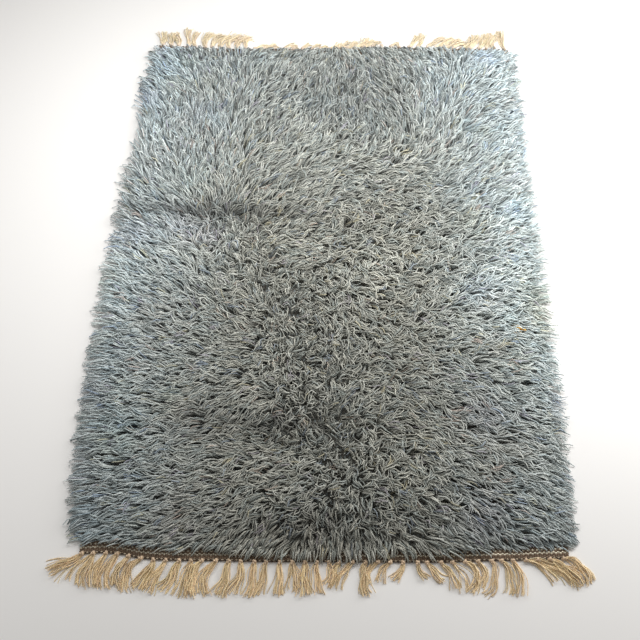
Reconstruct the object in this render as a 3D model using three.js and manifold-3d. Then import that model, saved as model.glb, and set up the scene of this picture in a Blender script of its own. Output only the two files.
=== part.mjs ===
// A rya rug lying flat: a woven ground, a flat-woven heading at each end, a deep shag pile
// knotted into the ground, and knotted warp fringes. Millimetres, +Z up.
// X runs across the rug and Y along it; the near end is at -Y. The origin is on the floor,
// under the middle of the ground.
import * as THREE from 'three';
import { mergeVertices } from 'three/addons/utils/BufferGeometryUtils.js';
import Module from 'manifold-3d';

const wasm = await Module();
wasm.setup();

// Driving dimensions
const width = 1050;
const length = 1480;
const skew = 0.0135; // the ends climb by this much for each millimetre to the right
const groundThickness = 4;
const headingWidth = 27;
const headingThickness = 4.2;
const gap = 0.3;

const halfWidth = width / 2;
const halfLength = length / 2;

// How far each woven end stands out from its straight line, along the width
const nearEdge = [
  { along: -525, out: 0 },
  { along: -460, out: -3 },
  { along: -395, out: 2 },
  { along: -330, out: 7 },
  { along: -265, out: 9 },
  { along: -75, out: 12 },
  { along: 225, out: 11 },
  { along: 375, out: 6 },
  { along: 525, out: 0 },
];
const farEdge = [
  { along: -525, out: 0 },
  { along: -430, out: -4 },
  { along: -330, out: -11 },
  { along: -100, out: -9 },
  { along: 50, out: -6 },
  { along: 125, out: 4 },
  { along: 330, out: 1 },
  { along: 525, out: 0 },
];

// Value of a table's column at a place, eased between its rows
function readTable(table, column, along) {
  const last = table.length - 1;
  if (along <= table[0].along) return table[0][column];
  if (along >= table[last].along) return table[last][column];
  const next = table.findIndex((row) => row.along > along);
  const before = table[next - 1];
  const after = table[next];
  const share = (along - before.along) / (after.along - before.along);
  const eased = share * share * (3 - 2 * share);
  return before[column] + (after[column] - before[column]) * eased;
}

// The outer edge of each heading runs straight between stations across the width, so the
// ground, the headings and the fringe strips all fit each other there
const stationCount = 20;
const stationPitch = width / stationCount;
const stations = Array.from({ length: stationCount + 1 }, (_, i) => -halfWidth + i * stationPitch);

function straightBetweenStations(edge) {
  return (x) => {
    const before = THREE.MathUtils.clamp(Math.floor((x + halfWidth) / stationPitch), 0, stationCount - 1);
    const share = (x - stations[before]) / stationPitch;
    return THREE.MathUtils.lerp(edge(stations[before]), edge(stations[before + 1]), share);
  };
}

const nearLine = straightBetweenStations((x) => -halfLength + skew * x - readTable(nearEdge, 'out', x));
const farLine = straightBetweenStations((x) => halfLength + skew * x + readTable(farEdge, 'out', x));

// A repeatable number from 0 to 1 for the uneven things made by hand
function uneven(index, salt) {
  const wave = Math.sin(index * 12.9898 + salt * 78.233) * 43758.5453;
  return wave - Math.floor(wave);
}

// Closed mesh from points and triangles
function meshGeometry(points, triangles) {
  const geometry = new THREE.BufferGeometry();
  geometry.setAttribute('position', new THREE.Float32BufferAttribute(points.flat(), 3));
  geometry.setIndex(triangles.flat());
  return geometry;
}

// Closed body through a row of closed sections, each a list of points going
// anticlockwise as seen from the far end of the row. A fan from each section's first
// point, a corner of its flat base, closes the two ends.
function loft(sections) {
  const sides = sections[0].length;
  const points = sections.flat();
  const triangles = [];
  for (let i = 0; i < sections.length - 1; i += 1) {
    for (let j = 0; j < sides; j += 1) {
      const a = i * sides + j;
      const b = i * sides + ((j + 1) % sides);
      triangles.push([a, b, b + sides], [a, b + sides, a + sides]);
    }
  }
  const last = (sections.length - 1) * sides;
  for (let j = 1; j < sides - 1; j += 1) {
    triangles.push([0, j + 1, j], [last, last + j, last + j + 1]);
  }
  return meshGeometry(points, triangles);
}

// Joins
function toSolid(geometry) {
  const bare = geometry.clone();
  bare.deleteAttribute('normal');
  bare.deleteAttribute('uv');
  const merged = mergeVertices(bare, 1e-4);
  return new wasm.Manifold(new wasm.Mesh({
    numProp: 3,
    vertProperties: new Float32Array(merged.attributes.position.array),
    triVerts: new Uint32Array(merged.index.array),
  }));
}

function joined(geometries) {
  let solid = toSolid(geometries[0]);
  geometries.slice(1).forEach((geometry) => {
    solid = solid.add(toSolid(geometry));
  });
  const mesh = solid.getMesh();
  const geometry = new THREE.BufferGeometry();
  geometry.setAttribute('position', new THREE.BufferAttribute(new Float32Array(mesh.vertProperties), 3));
  geometry.setIndex(new THREE.BufferAttribute(new Uint32Array(mesh.triVerts), 1));
  return geometry;
}

// Woven ground: a flat sheet whose ends follow the two headings
function wovenGround() {
  return loft(stations.map((x) => {
    const near = nearLine(x) + headingWidth + gap;
    const far = farLine(x) - headingWidth - gap;
    return [
      [x, near, 0],
      [x, far, 0],
      [x, far, groundThickness],
      [x, near, groundThickness],
    ];
  }));
}

// Heading: a flat-woven band with low ridges, where the cream picks stand up.
// The ridges are listed from the outer edge inwards, as shares of the band's width.
const headingRidges = [
  { from: 0.14, rise: 0.6 },
  { from: 0.52, rise: 0.9 },
];
const ridgeWidth = 0.22;

function heading(line, inward) {
  const top = [[0, headingThickness]];
  headingRidges.forEach(({ from, rise }) => {
    top.push([from, headingThickness]);
    top.push([from + ridgeWidth / 2, headingThickness + rise]);
    top.push([from + ridgeWidth, headingThickness]);
  });
  top.push([1, headingThickness]);
  return loft(stations.map((x) => {
    const place = ([share, z]) => [x, line(x) + inward * share * headingWidth, z];
    const base = [place([0, 0]), place([1, 0])];
    const over = top.map(place);
    return inward > 0 ? [...base, ...over.reverse()] : [...base.reverse(), ...over];
  }));
}

const headingTop = headingThickness + Math.max(...headingRidges.map((ridge) => ridge.rise));

// Pile: how far its tips reach past the ground on each edge, and the way they lie there,
// in degrees anticlockwise from +X
const pileLeft = [
  { along: -740, reach: 22, lay: 190 },
  { along: -640, reach: 40, lay: 182 },
  { along: -520, reach: 50, lay: 175 },
  { along: -375, reach: 48, lay: 172 },
  { along: -220, reach: 46, lay: 165 },
  { along: -50, reach: 46, lay: 145 },
  { along: 130, reach: 44, lay: 140 },
  { along: 330, reach: 38, lay: 132 },
  { along: 540, reach: 30, lay: 130 },
  { along: 740, reach: 14, lay: 125 },
];
const pileRight = [
  { along: -740, reach: 20, lay: -12 },
  { along: -600, reach: 28, lay: -20 },
  { along: -400, reach: 27, lay: -8 },
  { along: -220, reach: 18, lay: 0 },
  { along: -80, reach: 17, lay: 8 },
  { along: 100, reach: 17, lay: 40 },
  { along: 300, reach: 18, lay: 45 },
  { along: 540, reach: 28, lay: 35 },
  { along: 740, reach: 20, lay: 60 },
];
// On the two ends the reach is over the heading
const pileNear = [
  { along: -525, reach: 7, lay: 200 },
  { along: -330, reach: 9, lay: 215 },
  { along: -150, reach: 15, lay: 255 },
  { along: 0, reach: 20, lay: 270 },
  { along: 110, reach: 21, lay: 275 },
  { along: 200, reach: 15, lay: 295 },
  { along: 330, reach: 8, lay: 325 },
  { along: 525, reach: 7, lay: 335 },
];
const pileFar = [
  { along: -525, reach: 12, lay: 125 },
  { along: -380, reach: 14, lay: 100 },
  { along: -200, reach: 14, lay: 65 },
  { along: 0, reach: 13, lay: 80 },
  { along: 140, reach: 14, lay: 120 },
  { along: 330, reach: 13, lay: 105 },
  { along: 440, reach: 13, lay: 62 },
  { along: 525, reach: 12, lay: 60 },
];

// Pile height over the floor, and where it sinks or swells
const pileHeight = 31;
const rimHeight = 13;
const rimWidth = 80;
const underPile = groundThickness + gap;
const lumpHeight = 4.5;
const furrows = [
  { x1: -390, y1: 125, x2: -170, y2: 90, half: 42, deep: 11 },
  { x1: -260, y1: -465, x2: -30, y2: -478, half: 40, deep: 12 },
  { x1: -30, y1: -478, x2: 110, y2: -450, half: 34, deep: 8 },
  { x1: -130, y1: -700, x2: 230, y2: -650, half: 36, deep: 7 },
  { x1: 290, y1: -450, x2: 395, y2: -475, half: 34, deep: 8 },
  { x1: -75, y1: -235, x2: 70, y2: -190, half: 38, deep: 9 },
  { x1: 50, y1: 280, x2: 240, y2: 270, half: 36, deep: 6 },
  { x1: 280, y1: 48, x2: 390, y2: 70, half: 36, deep: 6 },
  { x1: -95, y1: 490, x2: 20, y2: 430, half: 46, deep: 6 },
  { x1: 165, y1: -575, x2: 225, y2: -645, half: 32, deep: 7 },
];

function distanceToFurrow(x, y, furrow) {
  const start = new THREE.Vector2(furrow.x1, furrow.y1);
  const run = new THREE.Vector2(furrow.x2, furrow.y2).sub(start);
  const from = new THREE.Vector2(x, y).sub(start);
  const share = THREE.MathUtils.clamp(from.dot(run) / run.lengthSq(), 0, 1);
  return from.distanceTo(run.multiplyScalar(share));
}

// Broad lumps some 15 cm apart, bent by a slower wave, with smaller ones over them
const broadLump = { alongX: 47, alongY: 52, bend: 1.5, bendOver: 87, share: 0.65 };
const smallLump = { alongX: 21, alongY: 24, slant: 36, share: 0.35 };

function lumps(x, y) {
  const { alongX, alongY, bend, bendOver } = broadLump;
  const { slant } = smallLump;
  const broad = Math.sin(x / alongX + bend * Math.sin(y / bendOver))
    * Math.sin(y / alongY + bend * Math.sin(x / bendOver));
  const small = Math.sin(x / smallLump.alongX + y / slant) * Math.sin(y / smallLump.alongY - x / slant);
  return lumpHeight * (broadLump.share * broad + smallLump.share * small);
}

// Edges of the slab: the tips' reach less the length of a rim lock that shows
const lockShows = 17;
const slabLeft = (y) => -halfWidth - readTable(pileLeft, 'reach', y) + lockShows;
const slabRight = (y) => halfWidth + readTable(pileRight, 'reach', y) - lockShows;
const slabNear = (x) => nearLine(x) + headingWidth - readTable(pileNear, 'reach', x) + lockShows;
const slabFar = (x) => farLine(x) - headingWidth + readTable(pileFar, 'reach', x) - lockShows;

function pileTop(x, y) {
  const toRim = Math.min(x - slabLeft(y), slabRight(y) - x, y - slabNear(x), slabFar(x) - y);
  const share = THREE.MathUtils.clamp(toRim / rimWidth, 0, 1);
  const crown = Math.sin((share * Math.PI) / 2);
  const sunk = furrows.reduce((sum, furrow) => {
    const off = distanceToFurrow(x, y, furrow) / furrow.half;
    return sum + furrow.deep * Math.exp(-off * off);
  }, 0);
  return rimHeight + (pileHeight - rimHeight) * crown + (lumps(x, y) - sunk) * Math.min(1, share * 2);
}

// Slab: a grid of top points over a flat underside that shares its outline
function pileSlab() {
  const columns = 26;
  const rows = 37;
  const columnX = (i, y) => THREE.MathUtils.lerp(slabLeft(y), slabRight(y), i / columns);
  const points = [];
  for (let j = 0; j <= rows; j += 1) {
    for (let i = 0; i <= columns; i += 1) {
      const roughY = THREE.MathUtils.lerp(-halfLength, halfLength, j / rows);
      const x = columnX(i, roughY);
      const y = THREE.MathUtils.lerp(slabNear(x), slabFar(x), j / rows);
      points.push([x, y, pileTop(x, y)]);
    }
  }
  const at = (i, j) => j * (columns + 1) + i;
  const triangles = [];
  for (let j = 0; j < rows; j += 1) {
    for (let i = 0; i < columns; i += 1) {
      triangles.push([at(i, j), at(i + 1, j), at(i + 1, j + 1)]);
      triangles.push([at(i, j), at(i + 1, j + 1), at(i, j + 1)]);
    }
  }
  const rim = [];
  for (let i = 0; i < columns; i += 1) rim.push(at(i, 0));
  for (let j = 0; j < rows; j += 1) rim.push(at(columns, j));
  for (let i = columns; i > 0; i -= 1) rim.push(at(i, rows));
  for (let j = rows; j > 0; j -= 1) rim.push(at(0, j));
  const firstBelow = points.length;
  rim.forEach((index) => points.push([points[index][0], points[index][1], underPile]));
  rim.forEach((above, k) => {
    const aboveNext = rim[(k + 1) % rim.length];
    const below = firstBelow + k;
    const belowNext = firstBelow + ((k + 1) % rim.length);
    triangles.push([above, below, belowNext], [above, belowNext, aboveNext]);
  });
  const outline = rim.map((index) => new THREE.Vector2(points[index][0], points[index][1]));
  THREE.ShapeUtils.triangulateShape(outline, []).forEach(([a, b, c]) => {
    triangles.push([firstBelow + a, firstBelow + c, firstBelow + b]);
  });
  return meshGeometry(points, triangles);
}

// A flat-bottomed lock that follows a bending path along the floor or over what it lies on,
// level on the highest thing under its two sides. steps holds its width and thickness at
// each point of the path, from root to tip, and how far its base is lifted there. ridge is
// how wide its flat top is, as a share of its base; with no ridge the top is a single edge.
function lock({ root, lay, turn, long, floorAt, steps, slim = 1, ridge = 0 }) {
  const sections = [];
  let [x, y] = root;
  const count = steps.length - 1;
  for (let i = 0; i <= count; i += 1) {
    const angle = THREE.MathUtils.degToRad(lay + turn * (i / count));
    const { wide, thick, lift } = steps[i];
    const across = [(-Math.sin(angle) * wide * slim) / 2, (Math.cos(angle) * wide * slim) / 2];
    const middle = [x, y];
    const place = (side) => middle.map((value, axis) => value + across[axis] * side);
    const base = Math.max(floorAt(...place(1)), floorAt(...place(-1))) + lift;
    const point = (side, above) => [...place(side), base + above];
    const top = ridge > 0 ? [point(ridge, thick), point(-ridge, thick)] : [point(0, thick)];
    sections.push([point(1, 0), ...top, point(-1, 0)]);
    x += (Math.cos(angle) * long) / count;
    y += (Math.sin(angle) * long) / count;
  }
  return loft(sections);
}

// Rim locks: they start inside the slab and droop over the ground's edge to the floor,
// or lie on the heading
const lockPitch = 46;
const lockRoot = 12;
const lockSway = 10; // degrees
const lockReachSpread = 5;
const mostSwept = 0.62; // least share of a swept lock's length that counts as its reach
const clearance = 10; // past the ground's edge before a lock starts to droop
const droop = 7;
const lockSteps = [
  { wide: 44, thick: 7, lift: 0.6 },
  { wide: 38, thick: 7.4, lift: 0.6 },
  { wide: 22, thick: 7, lift: 0.3 },
  { wide: 4, thick: 3, lift: 0 },
];

// Height of what lies below the pile: the ground, or the floor beside it
function underLock(x) {
  const past = Math.abs(x) - halfWidth - clearance;
  const share = THREE.MathUtils.clamp(past / droop, 0, 1);
  return underPile * (1 - share);
}

const onHeading = () => headingTop + gap;

// How much of a lock's length reaches straight out from the edge that it leaves
function shareOutward(lay, outward, least) {
  return Math.max(Math.cos(THREE.MathUtils.degToRad(lay - outward)), least);
}

function rimLocks(edge, from, to, rootAt, outward, floorAt) {
  const count = Math.round((to - from) / lockPitch);
  const sway = (i, salt) => uneven(i, outward + salt) - 0.5;
  return Array.from({ length: count }, (_, i) => {
    const along = THREE.MathUtils.lerp(from, to, (i + 0.5 + 0.4 * sway(i, 0)) / count);
    const lay = readTable(edge, 'lay', along) + lockSway * sway(i, 3);
    const straight = shareOutward(lay, outward, mostSwept);
    const reach = lockShows + lockRoot + lockReachSpread * sway(i, 7);
    return lock({
      root: rootAt(along),
      lay,
      turn: lockSway * sway(i, 11),
      long: reach / straight,
      floorAt,
      steps: lockSteps,
      slim: straight,
    });
  });
}

const cornerKept = 18; // from each corner to the first rim lock

function shagPile() {
  const low = -halfLength + headingWidth + cornerKept;
  const high = halfLength - headingWidth - cornerKept;
  const left = -halfWidth + cornerKept;
  const right = halfWidth - cornerKept;
  return joined([
    pileSlab(),
    ...rimLocks(pileLeft, low, high, (y) => [slabLeft(y) + lockRoot, y], 180, underLock),
    ...rimLocks(pileRight, low, high, (y) => [slabRight(y) - lockRoot, y], 0, underLock),
    ...rimLocks(pileNear, left, right, (x) => [x, slabNear(x) + lockRoot], 270, onHeading),
    ...rimLocks(pileFar, left, right, (x) => [x, slabFar(x) - lockRoot], 90, onHeading),
  ]);
}

// Fringe: warp ends knotted in bunches. lay is the way a tassel leaves its knot, in degrees
// anticlockwise from +X, turn is how much it bends on the way, and long is its length.
const tasselCount = 40;
const fringeNear = [
  { along: -515, lay: 214, turn: 6, long: 82 },
  { along: -470, lay: 226, turn: 14, long: 66 },
  { along: -400, lay: 232, turn: 24, long: 60 },
  { along: -300, lay: 236, turn: 30, long: 62 },
  { along: -200, lay: 244, turn: 22, long: 64 },
  { along: -130, lay: 262, turn: 8, long: 70 },
  { along: -20, lay: 268, turn: 4, long: 68 },
  { along: 40, lay: 262, turn: -8, long: 60 },
  { along: 110, lay: 244, turn: 30, long: 52 },
  { along: 190, lay: 232, turn: 36, long: 54 },
  { along: 250, lay: 300, turn: -50, long: 66 },
  { along: 330, lay: 312, turn: -56, long: 70 },
  { along: 420, lay: 318, turn: -40, long: 70 },
  { along: 480, lay: 326, turn: -12, long: 72 },
  { along: 515, lay: 328, turn: -4, long: 78 },
];
const fringeFar = [
  { along: -515, lay: 104, turn: -6, long: 62 },
  { along: -430, lay: 96, turn: -6, long: 66 },
  { along: -370, lay: 84, turn: -20, long: 60 },
  { along: -300, lay: 64, turn: 60, long: 52 },
  { along: -230, lay: 70, turn: 30, long: 34 },
  { along: -60, lay: 84, turn: -20, long: 30 },
  { along: 60, lay: 56, turn: -14, long: 44 },
  { along: 130, lay: 46, turn: 8, long: 40 },
  { along: 200, lay: 80, turn: -10, long: 26 },
  { along: 250, lay: 88, turn: -20, long: 58 },
  { along: 330, lay: 38, turn: 14, long: 58 },
  { along: 420, lay: 54, turn: 10, long: 68 },
  { along: 515, lay: 90, turn: 4, long: 66 },
];

// Narrow strip parted from the heading's outer edge, which swells into a knot at each tassel.
// reach is how far it stands out from the heading, and side and crest are its heights.
const tasselPitch = width / tasselCount;
const strip = { reach: 5, side: 2, crest: 2.5 };
const knot = { reach: 10.5, side: 3.6, crest: 6.4 };
const knotLength = 13;
const knotCore = 7;

function knottedStrip(line, inward) {
  const section = (x, { reach, side, crest }) => {
    const inner = line(x) - inward * gap;
    const middle = inner - (inward * reach) / 2;
    const outer = inner - inward * reach;
    const base = [[x, outer, 0], [x, inner, 0]];
    const over = [[x, inner, side], [x, middle, crest], [x, outer, side]];
    return inward > 0 ? [...base, ...over] : [...base.reverse(), ...over.reverse()];
  };
  const sections = [section(-halfWidth, strip)];
  for (let i = 0; i < tasselCount; i += 1) {
    const x = -halfWidth + tasselPitch * (i + 0.5);
    sections.push(section(x - knotLength / 2, strip), section(x - knotCore / 2, knot));
    sections.push(section(x + knotCore / 2, knot), section(x + knotLength / 2, strip));
    if (i % 2 === 1) sections.push(section(x + tasselPitch / 2, strip));
  }
  return loft(sections);
}

const nearTasselSteps = [
  { wide: 3, thick: 3, lift: 0.3 },
  { wide: 6, thick: 3.4, lift: 0 },
  { wide: 8, thick: 3, lift: 0 },
  { wide: 6, thick: 2.2, lift: 0 },
];
const farTasselSteps = [
  { wide: 3, thick: 3, lift: 0.3 },
  { wide: 7.5, thick: 3.4, lift: 0 },
  { wide: 6, thick: 2.4, lift: 0 },
];

// Each tassel is two locks, spread so that the tips of a whole row stay evenly apart
const rootOffset = 1.7;
const tasselSway = 4; // degrees
const tasselLengthSpread = 0.16;
const mostSweptTassel = 0.5;

function fringe({ table, line, inward, steps, ridge }) {
  const outward = inward > 0 ? 270 : 90;
  const pieces = [knottedStrip(line, inward)];
  for (let i = 0; i < tasselCount; i += 1) {
    const x = -halfWidth + tasselPitch * (i + 0.5);
    const y = line(x) - inward * (gap + knot.reach / 2);
    const lay = readTable(table, 'lay', x);
    const long = readTable(table, 'long', x);
    const straight = shareOutward(lay, outward, mostSweptTassel);
    const apart = (tasselPitch * straight) / 4 - rootOffset;
    const spread = THREE.MathUtils.radToDeg(Math.atan(apart / long));
    const turn = readTable(table, 'turn', x) + tasselSway * (uneven(i, outward) - 0.5);
    for (const half of [-1, 1]) {
      pieces.push(lock({
        root: [x + half * rootOffset, y],
        lay: lay + inward * half * spread,
        turn,
        long: long * (1 + tasselLengthSpread * (uneven(i, outward + half) - 0.5)),
        floorAt: () => 0,
        steps,
        slim: straight,
        ridge,
      }));
    }
  }
  return joined(pieces);
}

// The rug
function cloth(color, roughness) {
  return new THREE.MeshStandardMaterial({ color, roughness, metalness: 0 });
}

const groundWool = cloth('#6f6a60', 0.95);
const headingWool = cloth('#4a3c34', 0.92);
const pileWool = cloth('#93a0a0', 0.95);
const linen = cloth('#cbb084', 0.85);

function piece(name, geometry, material) {
  geometry.computeVertexNormals();
  const mesh = new THREE.Mesh(geometry, material);
  mesh.name = name;
  return mesh;
}

const rug = new THREE.Group();
rug.add(piece('woven_ground', wovenGround(), groundWool));
rug.add(piece('heading_near', heading(nearLine, 1), headingWool));
rug.add(piece('heading_far', heading(farLine, -1), headingWool));
rug.add(piece('shag_pile', shagPile(), pileWool));
rug.add(piece('fringe_near', fringe({
  table: fringeNear,
  line: nearLine,
  inward: 1,
  steps: nearTasselSteps,
  ridge: 0.5,
}), linen));
rug.add(piece('fringe_far', fringe({
  table: fringeFar,
  line: farLine,
  inward: -1,
  steps: farTasselSteps,
  ridge: 0,
}), linen));

export default rug;
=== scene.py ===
import math

import bpy
import numpy as np
from mathutils import Matrix, Vector
from mathutils.bvhtree import BVHTree


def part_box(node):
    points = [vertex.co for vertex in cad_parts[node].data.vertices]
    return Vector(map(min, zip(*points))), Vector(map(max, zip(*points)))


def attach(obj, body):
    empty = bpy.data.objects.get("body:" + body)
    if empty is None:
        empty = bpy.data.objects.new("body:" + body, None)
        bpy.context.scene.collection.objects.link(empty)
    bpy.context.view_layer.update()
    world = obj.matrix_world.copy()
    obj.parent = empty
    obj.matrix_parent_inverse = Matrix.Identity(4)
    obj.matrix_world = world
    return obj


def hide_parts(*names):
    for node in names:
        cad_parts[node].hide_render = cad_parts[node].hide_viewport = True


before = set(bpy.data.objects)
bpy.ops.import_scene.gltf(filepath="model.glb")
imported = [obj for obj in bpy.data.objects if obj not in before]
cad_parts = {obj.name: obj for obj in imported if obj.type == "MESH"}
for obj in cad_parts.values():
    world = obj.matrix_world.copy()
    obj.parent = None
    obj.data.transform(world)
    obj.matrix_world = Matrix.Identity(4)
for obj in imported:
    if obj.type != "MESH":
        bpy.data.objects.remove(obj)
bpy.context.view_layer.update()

# Camera: at a standing person's eye height just off the near end of the rug, looking
# steeply down along it. Its lens gives a focal length of 750 of the frame's 640 pixels.
mm = 0.001
frame_pixels = 640
focal_pixels = 750
camera_place = Vector((-0.0173, -0.9963, 1.667))
camera_down = math.radians(63.765)
camera_turn = math.radians(0.3)
camera_roll = math.radians(1.036)
camera_data = bpy.data.cameras.new("camera")
camera_data.sensor_width = 36
camera_data.lens = camera_data.sensor_width * focal_pixels / frame_pixels
camera_data.clip_start = 0.05
camera = bpy.data.objects.new("camera", camera_data)
bpy.context.scene.collection.objects.link(camera)
camera.matrix_world = (
    Matrix.Translation(camera_place)
    @ Matrix.Rotation(camera_turn, 4, "Z")
    @ Matrix.Rotation(math.pi / 2 - camera_down, 4, "X")
    @ Matrix.Rotation(camera_roll, 4, "Z")
)
bpy.context.scene.camera = camera


# Woven ground: one flat weft-faced cloth of grey-brown wool on linen warps 5 mm apart. Its
# warps show as ribs along the rug, and on the back each pile knot shows as a pale dot.
ground_low, ground_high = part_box("woven_ground")
warp_count = 210
warp_pitch = (ground_high.x - ground_low.x) / warp_count
rib_height = 0.5 * mm
weft_pitch = 1.9 * mm
knot_pitch = 2 * warp_pitch
row_pitch = 17 * mm


def add(tree, kind, feeds=None, **settings):
    made = tree.nodes.new(kind)
    for name, value in settings.items():
        setattr(made, name, value)
    for socket, value in (feeds or {}).items():
        if isinstance(value, bpy.types.NodeSocket):
            tree.links.new(value, made.inputs[socket])
        else:
            made.inputs[socket].default_value = value
    return made


def out(node):
    return next(socket for socket in node.outputs if socket.enabled)


def calc(tree, operation, *values):
    return out(add(tree, "ShaderNodeMath", dict(enumerate(values)), operation=operation))


def new_material(name, roughness, sheen):
    material = bpy.data.materials.new(name)
    material.use_nodes = True
    tree = material.node_tree
    shader = tree.nodes["Principled BSDF"]
    shader.inputs["Roughness"].default_value = roughness
    shader.inputs["Specular IOR Level"].default_value = 0.25
    shader.inputs["Sheen Weight"].default_value = sheen
    shader.inputs["Sheen Roughness"].default_value = 0.45
    return material, tree, shader


def blend_colours(tree, share, first, second):
    mixed = add(tree, "ShaderNodeMix", {0: share, 6: first, 7: second}, data_type="RGBA")
    return mixed.outputs[2]


def wave_along(tree, value, pitch):
    turns = calc(tree, "MULTIPLY", value, 2 * math.pi / pitch)
    return calc(tree, "MULTIPLY_ADD", calc(tree, "SINE", turns), 0.5, 0.5)


def add_bump(tree, shader, height, distance):
    bump = add(tree, "ShaderNodeBump", {"Height": height, "Distance": distance, "Strength": 1.0})
    tree.links.new(bump.outputs["Normal"], shader.inputs["Normal"])


def ground_material():
    wool_dark = (0.09, 0.085, 0.075, 1)
    wool_pale = (0.22, 0.21, 0.185, 1)
    knot_blue = (0.32, 0.36, 0.36, 1)
    material, tree, shader = new_material("ground_wool", 0.9, 0.15)
    place = add(tree, "ShaderNodeTexCoord").outputs["Object"]
    split = add(tree, "ShaderNodeSeparateXYZ", {0: place})
    picks = wave_along(tree, split.outputs["Y"], weft_pitch)
    heather = add(tree, "ShaderNodeTexNoise", {"Vector": place, "Scale": 260.0, "Detail": 3.0})
    wool = blend_colours(tree, heather.outputs["Fac"], wool_dark, wool_pale)
    across = wave_along(tree, split.outputs["X"], knot_pitch)
    down = wave_along(tree, split.outputs["Y"], row_pitch)
    dots = calc(tree, "GREATER_THAN", calc(tree, "MULTIPLY", across, down), 0.55)
    tree.links.new(blend_colours(tree, dots, wool, knot_blue), shader.inputs["Base Color"])
    add_bump(tree, shader, picks, 0.4 * mm)
    return material


def finished(name, mesh, material):
    piece = bpy.data.objects.new(name, mesh)
    bpy.context.scene.collection.objects.link(piece)
    if material:
        mesh.materials.clear()
        mesh.materials.append(material)
    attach(piece, "root")
    return piece


def edge_of(node, inward):
    """The outer (or inner) edge of a flat CAD band: its farthest point at each place across."""
    points = np.array([v.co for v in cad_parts[node].data.vertices])
    places = np.unique(np.round(points[:, 0], 4))
    pick = np.min if inward > 0 else np.max
    return places, np.array([pick(points[np.abs(points[:, 0] - x) < 1e-4][:, 1]) for x in places])


def ribbed_cloth(name, across, near, far, thick, rows):
    """A closed flat cloth whose warps stand up as ribs on both faces."""
    rib = np.where(np.arange(len(across)) % 2 == 1, rib_height, 0.0)
    rib[[0, -1]] = -thick / 3  # rounds off the side edges
    share = np.linspace(0, 1, rows)
    x = np.repeat(across, rows)
    y = (near[:, None] * (1 - share) + far[:, None] * share).ravel()
    lift = np.repeat(rib, rows)
    top = np.column_stack([x, y, thick - rib_height + lift])
    bottom = np.column_stack([x, y, rib_height - lift])
    count = len(x)
    at = np.arange(count).reshape(len(across), rows)
    upper = np.column_stack([a.ravel() for a in (at[:-1, :-1], at[1:, :-1], at[1:, 1:], at[:-1, 1:])])
    lower = upper[:, ::-1] + count
    rim = np.concatenate([at[:-1, 0], at[-1, :-1], at[:0:-1, -1], at[0, :0:-1]])
    ahead = np.roll(rim, -1)
    side = np.column_stack([rim, rim + count, ahead + count, ahead])
    mesh = bpy.data.meshes.new(name)
    mesh.from_pydata(np.concatenate([top, bottom]), [], np.concatenate([upper, lower, side]))
    mesh.shade_smooth()
    mesh.update()
    return mesh


def sag(x, side):
    """How far the near end bows out past its plain curve, left of the middle."""
    if side == "far":
        return np.zeros_like(x)
    places = [-0.44, -0.40, -0.36, -0.3, -0.25, -0.15, -0.05]
    depths = [0, 5.5, 6.5, 4, 2.5, 1.5, 0]
    return np.interp(x, places, depths) * mm


warps = np.linspace(ground_low.x, ground_high.x, 2 * warp_count + 1)
near_edge = edge_of("woven_ground", 1)
far_edge = edge_of("woven_ground", -1)
ground_near = np.interp(warps, *near_edge) - sag(warps, "near")
ground_far = np.interp(warps, *far_edge)
ground_thick = ground_high.z - ground_low.z
ground_mesh = ribbed_cloth("ground_cloth", warps, ground_near, ground_far, ground_thick, 3)
ground_cloth = finished("ground_cloth", ground_mesh, ground_material())
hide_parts("woven_ground")


# Headings: a flat-woven band at each end, closely beaten dark brown wool. Single and double
# cream picks show as a row of dots and a dotted line, because each pick crosses over every
# second warp only. The outermost row of beads, D, is painted shadow: near black where the band's edge
# shades the floor.
# D is painted shadow along the band's outer edge, not a wool of the rug
heading_picks = "DLBBBBCCBBCBBB"  # from the outer edge: Dark, Linen warp showing, Brown or Cream
heading_wools = {
    # D: painted shadow, near-black beads where the band's edge shades the floor
    "D": (0.05, 0.035, 0.025), "L": (0.42, 0.35, 0.26), "B": (0.175, 0.12, 0.08),
    "C": (0.85, 0.77, 0.6),
}
cream_dim_places, cream_dim_tones = (-0.25, 0.33), (0.66, 1.0)  # the cream is duller towards the left
heading_band_thick = 3.0 * mm
first_pick = 0.6  # of the weft's pitch, from the outer edge
pick_wander = 0.15 * mm
bead_wander = 0.1 * mm
bead_size = Vector((6.4, 4.1, 2.2)) * mm
bead_sides = 6
bead_rings = 3


def new_tree(name, inputs):
    tree = bpy.data.node_groups.new(name, "GeometryNodeTree")
    tree.interface.new_socket("Geometry", in_out="OUTPUT", socket_type="NodeSocketGeometry")
    for input_name, kind in {"Geometry": "Geometry", **inputs}.items():
        tree.interface.new_socket(input_name, in_out="INPUT", socket_type="NodeSocket" + kind)
    return tree, tree.nodes.new("NodeGroupInput").outputs


def end_tree(tree, geometry, material):
    plain = out(add(tree, "GeometryNodeRealizeInstances", {0: geometry}))
    dressed = out(add(tree, "GeometryNodeSetMaterial", {0: plain, "Material": material}))
    tree.links.new(dressed, tree.nodes.new("NodeGroupOutput").inputs[0])
    return tree


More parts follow.
